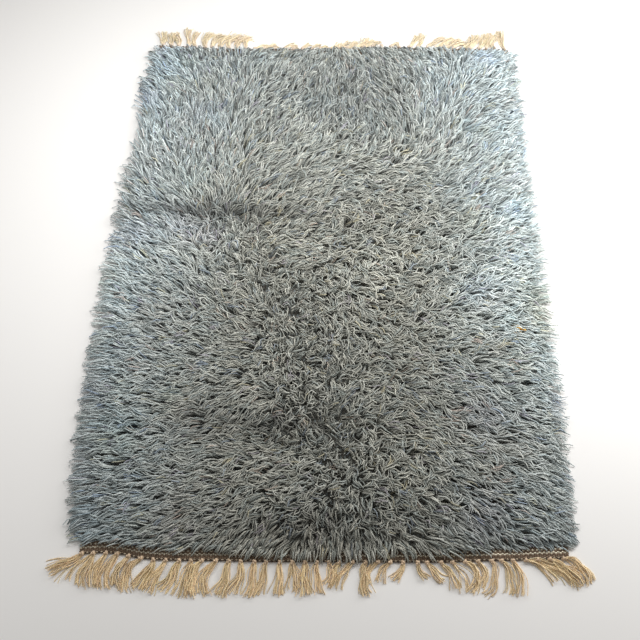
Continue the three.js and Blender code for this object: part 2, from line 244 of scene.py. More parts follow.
def grown(name, points, attributes, tree, inputs):
    """Runs a node tree on a cloud of points, and keeps what it makes as a plain mesh."""
    cloud = bpy.data.meshes.new(name + "_points")
    cloud.from_pydata(points, [], [])
    for key, values in attributes.items():
        kind, field = ("FLOAT", "value") if values.ndim == 1 else ("FLOAT_COLOR", "color")
        layer = cloud.attributes.new(key, kind, "POINT")
        layer.data.foreach_set(field, values.astype(np.float32).ravel())
    holder = bpy.data.objects.new(name + "_holder", cloud)
    bpy.context.scene.collection.objects.link(holder)
    modifier = holder.modifiers.new("grow", "NODES")
    modifier.node_group = tree
    for socket in tree.interface.items_tree:
        if socket.in_out == "INPUT" and socket.name in inputs:
            modifier[socket.identifier] = inputs[socket.name]
    graph = bpy.context.evaluated_depsgraph_get()
    mesh = bpy.data.meshes.new_from_object(
        holder.evaluated_get(graph), preserve_all_data_layers=True, depsgraph=graph
    )
    mesh.name = name
    bpy.data.objects.remove(holder)
    bpy.data.meshes.remove(cloud)
    return mesh


def pick_tree():
    """One flattened bead of yarn where a pick crosses over a warp."""
    inputs = {"Sides": "Int", "Rings": "Int", "Size": "Vector", "Material": "Material"}
    tree, given = new_tree("heading_picks", inputs)
    ball = {"Segments": given["Sides"], "Rings": given["Rings"], "Radius": 0.5}
    bead = add(tree, "GeometryNodeMeshUVSphere", ball).outputs["Mesh"]
    smooth = out(add(tree, "GeometryNodeSetShadeSmooth", {0: bead}))
    feeds = {"Points": given["Geometry"], "Instance": smooth, "Scale": given["Size"]}
    beads = out(add(tree, "GeometryNodeInstanceOnPoints", feeds))
    return end_tree(tree, beads, given["Material"])


def picks_material():
    material, tree, shader = new_material("heading_wool", 0.85, 0.2)
    colour = add(tree, "ShaderNodeAttribute", attribute_name="yarn_colour").outputs["Color"]
    place = add(tree, "ShaderNodeTexCoord").outputs["Object"]
    fibre = add(tree, "ShaderNodeTexNoise", {"Vector": place, "Scale": 900.0, "Detail": 3.0})
    shade = calc(tree, "MULTIPLY_ADD", fibre.outputs["Fac"], 0.7, 0.65)
    scaled = add(tree, "ShaderNodeVectorMath", {0: colour, "Scale": shade}, operation="SCALE")
    tree.links.new(scaled.outputs[0], shader.inputs["Base Color"])
    add_bump(tree, shader, fibre.outputs["Fac"], 0.3 * mm)
    return material


picks_wool = picks_material()
bead_tree = pick_tree()
warp_lines = np.linspace(ground_low.x, ground_high.x, warp_count + 1)[:-1] + warp_pitch / 2
ends_of_rug = (("near", "heading_near", 1), ("far", "heading_far", -1))
on_band = {}
for side, node, inward in ends_of_rug:
    draw = np.random.default_rng(11 + inward)
    outer = edge_of(node, inward)
    inner = edge_of(node, -inward)
    edges = [np.interp(warps, *edge) for edge in ((outer, inner) if inward > 0 else (inner, outer))]
    edges = [edge - sag(warps, side) for edge in edges]
    name = f"heading_{side}_band"
    band = ribbed_cloth(name, warps, *edges, heading_band_thick, 2)
    finished(name, band, picks_wool)
    band_colour = band.attributes.new("yarn_colour", "FLOAT_COLOR", "POINT")
    band_colour.data.foreach_set("color", np.tile([*heading_wools["B"], 1.0], len(band.vertices)))
    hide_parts(node)
    places, colours = [], []
    for number, wool in enumerate(heading_picks):
        over = warp_lines[number % 2::2]
        line = np.interp(over, *outer) - sag(over, side)
        y = line + inward * weft_pitch * (number + first_pick) + draw.normal(0, pick_wander, len(over))
        z = heading_band_thick + draw.normal(0, bead_wander, len(over))
        places.append(np.column_stack([over, y, z]))
        darkest, lightest = (0.75, 1.3) if wool == "B" else (0.9, 1.1)
        shade = draw.uniform(darkest, lightest, (len(over), 1))
        if wool == "C":
            # The cream is darker towards the left
            shade = shade * np.interp(over, cream_dim_places, cream_dim_tones)[:, None]
        colours.append(np.column_stack([shade * heading_wools[wool], np.ones(len(over))]))
    attributes = {"yarn_colour": np.concatenate(colours)}
    settings = {"Sides": bead_sides, "Rings": bead_rings, "Size": bead_size, "Material": picks_wool}
    mesh = grown(f"heading_{side}_picks", np.concatenate(places), attributes, bead_tree, settings)
    on_band[side] = [finished(mesh.name, mesh, None)]


# Shag pile: ends of thick two-ply wool, knotted round pairs of warps in rows and left long.
# They are trodden and brushed one way or another, so they lie in locks that part and cross.
yarn_thick = 2.7 * mm
yarn_long = 56 * mm
fewest_ends, most_ends = 4, 5
tuft_width = 10 * mm
yarn_sides = 3
yarn_segments = 3
pile_parts = 5

# Where the pile lies which way: the place on the rug and the tips' direction in degrees
# anticlockwise from +X, with how curly the yarn is there, from 0 to 1
lays = [
    {"x": -0.47, "y": 0.57, "lay": 138, "curl": 0.2},
    {"x": -0.43, "y": 0.15, "lay": 145, "curl": 0.25},
    {"x": -0.41, "y": 0.00, "lay": 150, "curl": 0.25},
    {"x": -0.50, "y": -0.15, "lay": 160, "curl": 0.25},
    {"x": -0.335, "y": 0.60, "lay": 100, "curl": 0.3},
    {"x": -0.335, "y": 0.45, "lay": 95, "curl": 0.3},
    {"x": -0.325, "y": 0.22, "lay": 95, "curl": 0.4},
    {"x": -0.18, "y": 0.50, "lay": 50, "curl": 0.35},
    {"x": -0.16, "y": 0.30, "lay": 45, "curl": 0.4},
    {"x": -0.16, "y": 0.16, "lay": 35, "curl": 0.5},
    {"x": -0.10, "y": 0.02, "lay": 0, "curl": 0.6},
    {"x": 0.05, "y": 0.53, "lay": 75, "curl": 0.6},
    {"x": 0.163, "y": 0.515, "lay": 130, "curl": 0.3},
    {"x": 0.277, "y": 0.52, "lay": 92, "curl": 0.4},
    {"x": 0.42, "y": 0.52, "lay": 22, "curl": 0.25},
    {"x": 0.40, "y": 0.30, "lay": 38, "curl": 0.25},
    {"x": 0.395, "y": 0.177, "lay": 35, "curl": 0.3},
    {"x": 0.48, "y": -0.035, "lay": 10, "curl": 0.4},
    {"x": 0.077, "y": 0.233, "lay": -10, "curl": 0.7},
    {"x": 0.23, "y": 0.15, "lay": -5, "curl": 0.8},
    {"x": 0.05, "y": 0.10, "lay": 20, "curl": 0.9},
    {"x": 0.05, "y": -0.13, "lay": 300, "curl": 1.0},
    {"x": 0.224, "y": -0.127, "lay": 0, "curl": 1.0},
    {"x": 0.05, "y": -0.39, "lay": 20, "curl": 0.8},
    {"x": 0.17, "y": -0.29, "lay": -10, "curl": 0.8},
    {"x": -0.52, "y": -0.28, "lay": 180, "curl": 0.2},
    {"x": -0.41, "y": -0.405, "lay": 186, "curl": 0.25},
    {"x": -0.507, "y": -0.526, "lay": 181, "curl": 0.2},
    {"x": -0.484, "y": -0.679, "lay": 195, "curl": 0.2},
    {"x": -0.371, "y": -0.719, "lay": 200, "curl": 0.25},
    {"x": -0.235, "y": -0.274, "lay": 185, "curl": 0.5},
    {"x": -0.22, "y": -0.125, "lay": 150, "curl": 0.7},
    {"x": -0.156, "y": -0.393, "lay": 215, "curl": 0.5},
    {"x": -0.277, "y": -0.588, "lay": 190, "curl": 0.4},
    {"x": -0.058, "y": -0.56, "lay": 190, "curl": 0.6},
    {"x": 0.05, "y": -0.709, "lay": 270, "curl": 0.4},
    {"x": -0.15, "y": -0.715, "lay": 232, "curl": 0.4},
    {"x": 0.331, "y": -0.703, "lay": -35, "curl": 0.3},
    {"x": 0.424, "y": -0.616, "lay": -24, "curl": 0.3},
    {"x": 0.482, "y": -0.383, "lay": -17, "curl": 0.3},
    {"x": 0.488, "y": -0.203, "lay": -10, "curl": 0.35},
    {"x": 0.269, "y": -0.46, "lay": -35, "curl": 0.5},
    {"x": 0.163, "y": -0.60, "lay": -5, "curl": 0.9},
    {"x": 0.307, "y": 0.019, "lay": 15, "curl": 0.9},
    {"x": -0.50, "y": 0.68, "lay": 140, "curl": 0.2},
    {"x": -0.38, "y": 0.68, "lay": 118, "curl": 0.25},
    {"x": -0.20, "y": 0.69, "lay": 50, "curl": 0.3},
    {"x": -0.10, "y": 0.69, "lay": 55, "curl": 0.3},
    {"x": 0.10, "y": 0.69, "lay": 125, "curl": 0.25},
    {"x": 0.20, "y": 0.68, "lay": 135, "curl": 0.2},
    {"x": 0.30, "y": 0.68, "lay": 122, "curl": 0.25},
    {"x": 0.46, "y": 0.68, "lay": 42, "curl": 0.2},
]
# Painted light and shade on the pile, where it is trodden flat and catches more light, or parts and
# shows its dark depth: the middle and the size of each area, and the factor on its colour
painted_light_and_shade = [
    {"x": -0.32, "y": 0.50, "wide": 0.36, "deep": 0.5, "tone": 0.91},
    {"x": 0.05, "y": 0.53, "wide": 0.36, "deep": 0.26, "tone": 0.74},
    {"x": -0.30, "y": 0.115, "wide": 0.40, "deep": 0.07, "tone": 0.80},
    {"x": -0.21, "y": 0.04, "wide": 0.50, "deep": 0.08, "tone": 1.18},
    {"x": -0.53, "y": -0.12, "wide": 0.14, "deep": 0.30, "tone": 1.30},
    {"x": 0.43, "y": -0.06, "wide": 0.18, "deep": 0.38, "tone": 1.25},
    {"x": -0.34, "y": 0.115, "wide": 0.42, "deep": 0.025, "tone": 0.6},
    {"x": 0.10, "y": -0.04, "wide": 0.17, "deep": 0.13, "tone": 1.20},
    {"x": 0.31, "y": -0.15, "wide": 0.14, "deep": 0.17, "tone": 1.20},
    {"x": -0.255, "y": -0.45, "wide": 0.17, "deep": 0.10, "tone": 0.72},
    {"x": -0.10, "y": -0.455, "wide": 0.14, "deep": 0.09, "tone": 0.80},
    {"x": -0.11, "y": -0.45, "wide": 0.16, "deep": 0.025, "tone": 0.55},
    {"x": -0.03, "y": -0.68, "wide": 0.18, "deep": 0.08, "tone": 0.75},
    {"x": 0.154, "y": -0.536, "wide": 0.10, "deep": 0.08, "tone": 1.20},
    {"x": -0.50, "y": -0.34, "wide": 0.12, "deep": 0.16, "tone": 1.05},
    {"x": 0.53, "y": -0.28, "wide": 0.12, "deep": 0.40, "tone": 1.18},
    {"x": 0.46, "y": 0.62, "wide": 0.16, "deep": 0.18, "tone": 1.2},
    {"x": 0.50, "y": 0.25, "wide": 0.12, "deep": 0.40, "tone": 1.15},
    {"x": 0.00, "y": -0.665, "wide": 0.90, "deep": 0.07, "tone": 0.88},
    {"x": 0.00, "y": -0.73, "wide": 1.00, "deep": 0.04, "tone": 1.14},
    {"x": -0.50, "y": 0.68, "wide": 0.14, "deep": 0.16, "tone": 1.12},
    {"x": -0.50, "y": 0.45, "wide": 0.14, "deep": 0.30, "tone": 1.12},
    {"x": -0.50, "y": -0.45, "wide": 0.20, "deep": 0.60, "tone": 0.97},
    {"x": 0.05, "y": -0.735, "wide": 0.90, "deep": 0.03, "tone": 1.1},
    {"x": 0.03, "y": 0.36, "wide": 0.42, "deep": 0.13, "tone": 1.08},
    {"x": -0.17, "y": -0.04, "wide": 0.30, "deep": 0.12, "tone": 1.09},
    {"x": -0.43, "y": -0.04, "wide": 0.22, "deep": 0.11, "tone": 1.07},
    {"x": -0.21, "y": 0.49, "wide": 0.12, "deep": 0.12, "tone": 1.07},
]
# Where the dyes are bluer, or less blue, than around: the middle and size of each area, and the
# share that goes from red to blue
dyes = [
    {"x": -0.47, "y": 0.63, "wide": 0.13, "deep": 0.11, "blue": 0.08},
    {"x": -0.53, "y": 0.54, "wide": 0.08, "deep": 0.08, "blue": 0.05},
    {"x": -0.215, "y": 0.645, "wide": 0.1, "deep": 0.08, "blue": 0.05},
    {"x": -0.025, "y": 0.48, "wide": 0.13, "deep": 0.07, "blue": 0.05},
    {"x": 0.11, "y": 0.41, "wide": 0.14, "deep": 0.07, "blue": 0.04},
    {"x": 0.29, "y": 0.55, "wide": 0.09, "deep": 0.14, "blue": 0.04},
    {"x": -0.52, "y": -0.09, "wide": 0.1, "deep": 0.13, "blue": 0.08},
    {"x": -0.47, "y": -0.33, "wide": 0.09, "deep": 0.11, "blue": 0.04},
    {"x": -0.37, "y": -0.66, "wide": 0.12, "deep": 0.08, "blue": 0.06},
    {"x": -0.5, "y": -0.71, "wide": 0.08, "deep": 0.05, "blue": 0.05},
    {"x": 0.353, "y": 0.19, "wide": 0.13, "deep": 0.08, "blue": 0.05},
    {"x": 0.341, "y": -0.11, "wide": 0.1, "deep": 0.08, "blue": 0.04},
    {"x": 0.49, "y": -0.14, "wide": 0.08, "deep": 0.12, "blue": 0.06},
    {"x": -0.36, "y": 0.46, "wide": 0.14, "deep": 0.18, "blue": -0.08},
    {"x": -0.357, "y": 0.21, "wide": 0.1, "deep": 0.12, "blue": -0.06},
    {"x": -0.05, "y": -0.7, "wide": 0.24, "deep": 0.06, "blue": -0.06},
    {"x": 0.34, "y": -0.5, "wide": 0.08, "deep": 0.33, "blue": -0.04},
    {"x": 0.465, "y": -0.5, "wide": 0.1, "deep": 0.33, "blue": -0.04},
]
lay_places = np.array([[row["x"], row["y"]] for row in lays])
lay_angles = np.radians([row["lay"] for row in lays])
lay_curls = np.array([row["curl"] for row in lays])
lay_falloff = 3.5


def lay_field(places, blur):
    """The mean of the table's directions near each place, as vectors, and of their curl."""
    apart = np.linalg.norm(places[:, None] - lay_places, axis=2)
    weight = 1 / (apart + blur) ** lay_falloff
    weight /= weight.sum(axis=1, keepdims=True)
    ways = np.column_stack([np.cos(lay_angles), np.sin(lay_angles)])
    return weight @ ways, weight @ lay_curls


def pile_heights(step=8 * mm):
    """The top of the CAD pile over a grid, as a function of place."""
    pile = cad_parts["shag_pile"].data
    pile.calc_loop_triangles()
    points = [v.co[:] for v in pile.vertices]
    tree = BVHTree.FromPolygons(points, [t.vertices[:] for t in pile.loop_triangles])
    low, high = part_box("shag_pile")
    xs = np.arange(low.x, high.x + step, step)
    ys = np.arange(low.y, high.y + step, step)
    down = Vector((0, 0, -1))
    heights = np.zeros((len(xs), len(ys)))
    for i, x in enumerate(xs):
        for j, y in enumerate(ys):
            hit = tree.ray_cast(Vector((x, y, 1)), down)[0]
            heights[i, j] = hit.z if hit else 0

    def height(x, y):
        u = np.clip((x - xs[0]) / step, 0, len(xs) - 1.001)
        v = np.clip((y - ys[0]) / step, 0, len(ys) - 1.001)
        i, j = u.astype(int), v.astype(int)
        u, v = u - i, v - j
        low_row = heights[i, j] * (1 - v) + heights[i, j + 1] * v
        high_row = heights[i + 1, j] * (1 - v) + heights[i + 1, j + 1] * v
        return low_row * (1 - u) + high_row * u

    return height


def droop_for(rise, lift):
    """The angle at its tip of a yarn that leaves at the angle lift and climbs by the share
    rise of its length, its angle changing evenly on the way."""
    steepest = math.radians(-100)
    halvings = 24
    low = np.full_like(rise, steepest)
    high = lift - 0.01
    for _ in range(halvings):
        middle = (low + high) / 2
        climb = (np.cos(middle) - np.cos(lift)) / (lift - middle)
        too_low = climb < rise
        low = np.where(too_low, middle, low)
        high = np.where(too_low, high, middle)
    return (low + high) / 2


def yarn_tree():
    """Grows one bent, wavy tube of yarn from each point. The heading and the climb of each
    step follow the point's attributes, and the steps are added up along the yarn."""
    thinnest, thickest = 0.42, 0.58  # the yarn's radius, in thicknesses
    updown_phase, updown_share = 1.7, 0.6  # of the waves up and down, against those sideways
    cell_fill = 0.9  # of each yarn's own cell in the unwrapped map
    inputs = {
        "Segments": "Int", "Sides": "Int", "Crowding": "Float", "Thickness": "Float", "Waves": "Float",
        "Floor": "Float", "Foot": "Float", "Tip": "Float", "Cells": "Int", "Seed": "Int",
        "Material": "Material",
    }
    tree, given = new_tree("yarn", inputs)

    def own(name):
        node = add(tree, "GeometryNodeInputNamedAttribute", {"Name": name}, data_type="FLOAT")
        return out(node)

    def chance(low, high, salt):
        seed = calc(tree, "ADD", given["Seed"], salt)
        feeds = {"Min": low, "Max": high, "ID": own_number, "Seed": seed}
        node = add(tree, "FunctionNodeRandomValue", data_type="FLOAT")
        for name, value in feeds.items():
            socket = next(s for s in node.inputs if s.name == name and s.enabled)
            if isinstance(value, bpy.types.NodeSocket):
                tree.links.new(value, socket)
            else:
                socket.default_value = value
        return out(node)

    def keep(geometry, name, value, kind="FLOAT", domain="POINT"):
        feeds = {"Geometry": geometry, "Name": name, "Value": value}
        return out(add(tree, "GeometryNodeStoreNamedAttribute", feeds, data_type=kind, domain=domain))

    index = out(add(tree, "GeometryNodeInputIndex"))
    place = out(add(tree, "GeometryNodeInputPosition"))
    roots = keep(given["Geometry"], "number", index)
    roots = keep(roots, "root", place, "FLOAT_VECTOR")
    own_number = own("number")
    line = out(add(tree, "GeometryNodeCurvePrimitiveLine"))
    points = calc(tree, "ADD", given["Segments"], 1)
    line = out(add(tree, "GeometryNodeResampleCurve", {"Curve": line, "Count": points}))
    strands = out(add(tree, "GeometryNodeInstanceOnPoints", {"Points": roots, "Instance": line}))
    strands = out(add(tree, "GeometryNodeRealizeInstances", {0: strands}))
    factor = add(tree, "GeometryNodeSplineParameter").outputs["Factor"]
    strands = keep(strands, "along", calc(tree, "POWER", factor, given["Crowding"]))
    next_factor = calc(tree, "ADD", factor, calc(tree, "DIVIDE", 1.0, given["Segments"]))
    here = own("along")
    ahead = calc(tree, "POWER", next_factor, given["Crowding"])
    middle = calc(tree, "MULTIPLY", calc(tree, "ADD", here, ahead), 0.5)
    swing = calc(tree, "MULTIPLY", calc(tree, "MULTIPLY", middle, given["Waves"]), 2 * math.pi)
    curl = own("curl")
    sideways = calc(tree, "SINE", calc(tree, "ADD", swing, own("phase")))
    upwards = calc(tree, "SINE", calc(tree, "MULTIPLY_ADD", own("phase"), updown_phase, swing))
    heading = calc(tree, "MULTIPLY_ADD", own("turn"), middle, own("lay"))
    heading = calc(tree, "MULTIPLY_ADD", sideways, curl, heading)
    bend = calc(tree, "SUBTRACT", own("droop"), own("lift"))
    climb = calc(tree, "MULTIPLY_ADD", bend, middle, own("lift"))
    climb = calc(tree, "MULTIPLY_ADD", upwards, calc(tree, "MULTIPLY", curl, updown_share), climb)
    step = calc(tree, "MULTIPLY", own("long"), calc(tree, "SUBTRACT", ahead, here))
    level = calc(tree, "MULTIPLY", step, calc(tree, "COSINE", climb))
    feeds = {
        0: calc(tree, "MULTIPLY", level, calc(tree, "COSINE", heading)),
        1: calc(tree, "MULTIPLY", level, calc(tree, "SINE", heading)),
        2: calc(tree, "MULTIPLY", step, calc(tree, "SINE", climb)),
    }
    move = out(add(tree, "ShaderNodeCombineXYZ", feeds))
    summed = add(tree, "GeometryNodeAccumulateField", {0: move, "Group ID": own_number},
                 data_type="FLOAT_VECTOR", domain="POINT").outputs["Trailing"]
    root = out(add(tree, "GeometryNodeInputNamedAttribute", {"Name": "root"}, data_type="FLOAT_VECTOR"))
    path = add(tree, "ShaderNodeVectorMath", {0: root, 1: summed}, operation="ADD").outputs[0]
    split = add(tree, "ShaderNodeSeparateXYZ", {0: path})
    half = calc(tree, "MULTIPLY", given["Thickness"], chance(thinnest, thickest, 3))
    lowest = calc(tree, "ADD", given["Floor"], half)
    height = calc(tree, "MAXIMUM", split.outputs["Z"], lowest)
    feeds = {0: split.outputs["X"], 1: split.outputs["Y"], 2: height}
    path = out(add(tree, "ShaderNodeCombineXYZ", feeds))
    strands = out(add(tree, "GeometryNodeSetPosition", {0: strands, "Position": path}))
    taper = calc(tree, "MULTIPLY", here, calc(tree, "SUBTRACT", given["Tip"], given["Foot"]))
    radius = calc(tree, "MULTIPLY", half, calc(tree, "ADD", given["Foot"], taper))
    tilt = chance(0.0, 2 * math.pi, 4)
    strands = out(add(tree, "GeometryNodeSetCurveTilt", {0: strands, "Tilt": tilt}))
    feeds = {"Resolution": given["Sides"], "Radius": 1.0}
    ring = out(add(tree, "GeometryNodeCurvePrimitiveCircle", feeds))
    ring = keep(ring, "around", factor)
    feeds = {"Curve": strands, "Profile Curve": ring, "Scale": radius, "Fill Caps": True}
    tubes = out(add(tree, "GeometryNodeCurveToMesh", feeds))
    tubes = out(add(tree, "GeometryNodeSetShadeSmooth", {0: tubes}))
    column = calc(tree, "MODULO", own_number, given["Cells"])
    row = calc(tree, "FLOOR", calc(tree, "DIVIDE", own_number, given["Cells"]))
    u = calc(tree, "DIVIDE", calc(tree, "MULTIPLY_ADD", own("along"), cell_fill, column), given["Cells"])
    v = calc(tree, "DIVIDE", calc(tree, "MULTIPLY_ADD", own("around"), cell_fill, row), given["Cells"])
    bake = out(add(tree, "ShaderNodeCombineXYZ", {0: u, 1: v}))
    tubes = keep(tubes, "OFBake", bake, "FLOAT2", "CORNER")
    return end_tree(tree, tubes, given["Material"])


def pile_material():
    twists = 9.0
    material, tree, shader = new_material("pile_wool", 0.9, 0.15)
    colour = add(tree, "ShaderNodeAttribute", attribute_name="yarn_colour").outputs["Color"]
    along = add(tree, "ShaderNodeAttribute", attribute_name="along").outputs["Fac"]
    around = add(tree, "ShaderNodeAttribute", attribute_name="around").outputs["Fac"]
    ply = wave_along(tree, calc(tree, "MULTIPLY_ADD", along, twists, around), 1.0)
    # Painted light and shade: lighter on the twist's ridges, darker in its grooves
    shade = calc(tree, "MULTIPLY_ADD", ply, 0.3, 0.85)
    # Painted shade: the yarn is darker towards its root, for the deep pile's shadow
    shade = calc(tree, "MULTIPLY", shade, calc(tree, "MULTIPLY_ADD", along, 0.36, 0.72))
    scaled = add(tree, "ShaderNodeVectorMath", {0: colour, "Scale": shade}, operation="SCALE")
    tree.links.new(scaled.outputs[0], shader.inputs["Base Color"])
    add_bump(tree, shader, ply, 0.4 * mm)
    return material


# Dyed wools of the pile, with the share of the ends that have each
wools = [
    {"colour": (0.62, 0.64, 0.62), "share": 0.30},
    {"colour": (0.53, 0.55, 0.52), "share": 0.26},
    {"colour": (0.48, 0.53, 0.53), "share": 0.17},
    {"colour": (0.69, 0.70, 0.66), "share": 0.13},
    {"colour": (0.36, 0.39, 0.38), "share": 0.09},
    {"colour": (0.38, 0.44, 0.52), "share": 0.018},
    {"colour": (0.50, 0.48, 0.54), "share": 0.01},
    {"colour": (0.60, 0.57, 0.44), "share": 0.012},
    {"colour": (0.58, 0.50, 0.45), "share": 0.008},
]
# Tints for the middle and the edges: partly the wools' own dyes, warmer in the middle and bluer at the
# edges, and partly painted shade in the curly middle and painted light where the edge yarn lies flat
edge_dye_and_light = np.array([0.98, 1.06, 1.11])
middle_dye_and_shade = np.array([0.80, 0.78, 0.72])
patch_tints = np.array([
    [0.95, 0.99, 1.05],
    [0.98, 0.97, 1.04],
    [1.02, 1.0, 0.95],
    [1.03, 0.985, 0.96],
    [0.95, 1.01, 1.03],
])
patch_count = 70
orange_spot = (0.446, -0.192)
orange_radius = 12 * mm

# Knots: in rows across the rug, each on its own pair of warps, with every second row shifted
draw = np.random.default_rng(5)
pile_top = pile_heights()
knot_rows = round((ground_far - ground_near).mean() / row_pitch)
knot_wander = 1.2 * mm
end_gap = 6 * mm  # from each end of the ground to its first row
knots, margins = [], []
for number, share in enumerate(np.linspace(0, 1, knot_rows)):
    across = warp_lines[number % 2::2] + warp_pitch / 2
    near = np.interp(across, *near_edge) + end_gap
    far = np.interp(across, *far_edge) - end_gap
    knots.append(np.column_stack([across, near + (far - near) * share]))
    to_end = np.minimum(share, 1 - share) * (far - near)
    to_side = np.minimum(across - ground_low.x, ground_high.x - across)
    margins.append(np.column_stack([to_side, to_end]))
knots = np.concatenate(knots)
to_side, to_end = np.concatenate(margins).T
knots += draw.normal(0, knot_wander, knots.shape)

# Tufts: the ends of one knot lie side by side and run the same way. Tufts near one another
# lean alike and together stand out or sink, which makes the locks.
lock_count = 1700
batches = 12  # the nearest locks are looked up in so many goes, to save memory
lock_spread, tuft_spread, open_spread = 0.22, 0.3, 1.6  # how far directions differ, in radians
side_zone = 60 * mm  # near the sides and the ends the tufts are calmer
end_zone = 50 * mm
lock_places = np.column_stack([
    draw.uniform(ground_low.x, ground_high.x, lock_count),
    draw.uniform(ground_low.y, ground_high.y, lock_count),
])
lock_lean = draw.normal(0, 1, lock_count)
lock_swell = draw.normal(0, 1, lock_count)
lock = np.concatenate([
    ((part[:, None] - lock_places) ** 2).sum(axis=2).argmin(axis=1)
    for part in np.array_split(knots, batches)
])
tufts = len(knots)
way, curl = lay_field(knots, 30 * mm)
broad_way = lay_field(knots, 90 * mm)[0]
lay = np.arctan2(way[:, 1], way[:, 0])
lean = np.clip(1.25 * np.hypot(*broad_way.T), 0.15, 1)
rim = np.clip(1 - to_side / side_zone, 0, 1)
at_side = rim > 0.5
calm = 1 - 0.75 * np.maximum(rim, np.clip(1 - to_end / end_zone, 0, 1))
curl *= calm
loose = 0.28 + 0.6 * curl
lay = lay + (lock_spread * lock_lean[lock] * (1 - rim) + draw.normal(0, tuft_spread, tufts)) * loose
lay = lay + draw.normal(0, open_spread, tufts) * (1 - lean)

# How far each tuft runs: most of the yarn's length where all lie one way, and at the rim as far
# past the edge of the CAD pile as the locks there hang. Right of the middle they leave the near
# heading bare.
usual_run, side_run, end_run = 0.74 * yarn_long, 1.4 * yarn_long, 1.05 * yarn_long
past_edge = 6 * mm
hanging_zone = 20 * mm  # tufts this near an end may hang over it
rim_height = 1 * mm
bare_from, bare_to = 0.27, 0.36
root_height = ground_high.z - 0.5 * mm
toward = np.array([np.cos(lay), np.sin(lay)]).T
beyond = np.full(tufts, 1.0)
for reach in np.arange(76, 4, -4) * mm:
    tips = knots + reach * toward
    beyond = np.where(pile_top(tips[:, 0], tips[:, 1]) < rim_height, reach, beyond)
run = np.minimum(usual_run * lean, beyond + past_edge)
past_left = np.interp(knots[:, 1], [-0.6, -0.35, 0.25, 0.45, 0.6], [14, 26, 28, 40, 12]) * mm
past_right = np.interp(knots[:, 1], [-0.6, -0.4, 0.3, 0.6], [-4, -16, -16, -8]) * mm
past_rim = np.where(knots[:, 0] < 0, past_left, past_right)
run = np.where(at_side, np.minimum(beyond + past_rim, side_run), run)
hangs = (to_end < hanging_zone) & (toward[:, 1] * knots[:, 1] > 0.3 * np.abs(knots[:, 1]))
run = np.where(hangs, np.minimum(beyond + past_edge, end_run), run)
past_end = np.interp(knots[:, 0], [bare_from, bare_to], [60 * mm, 3 * mm])
end_room = (to_end + past_end) / np.maximum(-toward[:, 1], 0.05)
run = np.where(knots[:, 1] < 0, np.minimum(run, end_room), run)

# How each tuft rises and bends: it leaves the ground steeply, and what yarn its run doesn't need
# goes into waves
lowest_top = 5 * mm
top_wander = 1.5 * mm
swell = 0.04
bend_spare = 1.06
least, least_at_side, least_trimmed, most = np.array([0.85, 0.72, 0.39, 1.6]) * yarn_long
upright, side_lower, lift_wander = 82, 42, 6  # degrees that a tuft leaves the ground at
tips = knots + run[:, None] * toward
top = np.maximum(pile_top(tips[:, 0], tips[:, 1]), lowest_top)
top = top * (1 + swell * lock_swell[lock]) - np.abs(draw.normal(0, top_wander, tufts))
needed = np.hypot(run, top - root_height) * bend_spare
trimmed = (end_room < 0.79 * yarn_long) & (knots[:, 0] > bare_from)
least_long = np.where(trimmed, least_trimmed, np.where(at_side, least_at_side, least))
long = np.clip(needed, least_long, most) * draw.uniform(0.93, 1.05, tufts)
slack = 2 * np.sqrt(np.clip(1 - needed / long, 0, 0.3))
lift = np.radians(upright - side_lower * rim + draw.normal(0, lift_wander, tufts))
turn = draw.normal(0, 0.35, tufts) * calm + draw.normal(0, 1.0, tufts) * curl ** 2
phase = draw.uniform(0, 2 * math.pi, tufts)
wave = np.maximum(0.45 * curl + 0.1, slack * calm)

# Single ends: each takes its tuft's run, rise and bend, and strays a little from them
root_wander = (1.7 * mm, 3 * mm)
sink = 6 * mm
ends_of_knot = draw.integers(fewest_ends, most_ends + 1, tufts)
knot = np.repeat(np.arange(tufts), ends_of_knot)
first_end = np.cumsum(ends_of_knot) - ends_of_knot
aside = (np.arange(len(knot)) - first_end[knot] + 0.5) / ends_of_knot[knot] - 0.5
count = len(knot)
ends = knots[knot] + (aside * tuft_width * np.array([-np.sin(lay[knot]), np.cos(lay[knot])])).T
ends += draw.normal(0, 1, ends.shape) * root_wander
long = long[knot] * (draw.uniform(0.92, 1.06, count) - draw.uniform(0, 0.14, count) * rim[knot])
top = top[knot] - draw.uniform(0, sink, count)
rise = np.clip((top - root_height) / long, -0.04, 0.8)
lift = lift[knot]
droop = droop_for(rise, lift)
curl = curl[knot]
lay = lay[knot] - 0.05 * aside + draw.normal(0, 0.09, count) * (1 + rim[knot])
turn = turn[knot] + draw.normal(0, 0.07, count) * (1 + 3 * curl)
phase = phase[knot] + draw.normal(0, 0.4, count)
wave = wave[knot]

# Colours: half of the ends share their knot's wool. Their tint changes from the middle to the edges,
# partly as dye and partly as painted light and shade; they have faded unevenly towards the far end, the
# near end carries painted shade, and patches of other dyes lie near the sides.
shares = np.array([row["share"] for row in wools])
knot_wool = draw.choice(len(wools), tufts, p=shares / shares.sum())
end_wool = draw.choice(len(wools), count, p=shares / shares.sum())
end_wool = np.where(draw.random(count) < 0.5, knot_wool[knot], end_wool)
colour = np.array([row["colour"] for row in wools])[end_wool]
to_edge = np.clip((np.abs(ends[:, 0]) - 0.2) / 0.25, 0, 1)
to_far = np.clip((ends[:, 1] - 0.1) / 0.4, 0, 1)
outer = np.clip(to_edge * 0.8 + to_far * 0.38, 0, 1)[:, None]
colour = colour * (middle_dye_and_shade * (1 - outer) + edge_dye_and_light * outer)
unevenness = np.interp(ends[:, 1], [-0.2, 0.6], [0.22, 0.6])
unevenness *= np.interp(ends[:, 0], [0.25, 0.45], [1, 0.72])
colour *= np.maximum(1 + draw.uniform(-1, 1, count) * unevenness, 0.55)[:, None]
